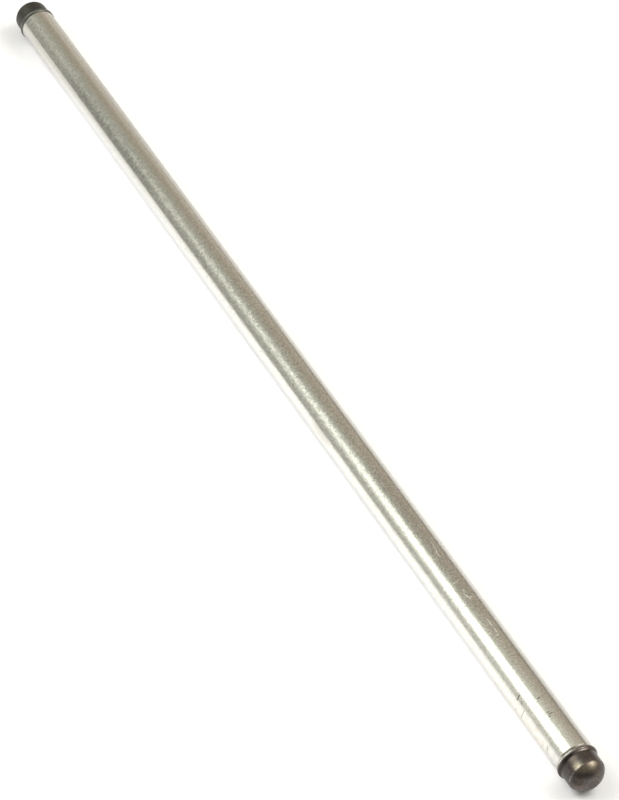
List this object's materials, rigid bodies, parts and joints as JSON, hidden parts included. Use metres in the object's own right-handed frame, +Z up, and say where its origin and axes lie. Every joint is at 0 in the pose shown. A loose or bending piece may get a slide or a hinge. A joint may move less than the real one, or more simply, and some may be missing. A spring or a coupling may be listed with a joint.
{
  "type": "engine pushrod",
  "caption": "Straight engine pushrod: a bright aluminium tube with a dark steel ball tip pressed into each end, made to carry a tappet's lift to a rocker.",
  "frame": {"origin": "middle of the rod, on its axis", "axes": "+X along the rod towards the rocker's end, +Z up as the rod lies"},
  "size_m": [0.29, 0.0094, 0.0094],
  "materials": {
    "tube_aluminium": "drawn and polished, with fine draw lines, rub marks and faint stains",
    "tip_steel": "hardened and darkened, smooth, with brown temper tints"
  },
  "bodies": {
    "root": {"tube": "tube_aluminium", "rocker_tip": "tip_steel", "tappet_tip": "tip_steel"}
  },
  "joints": []
}
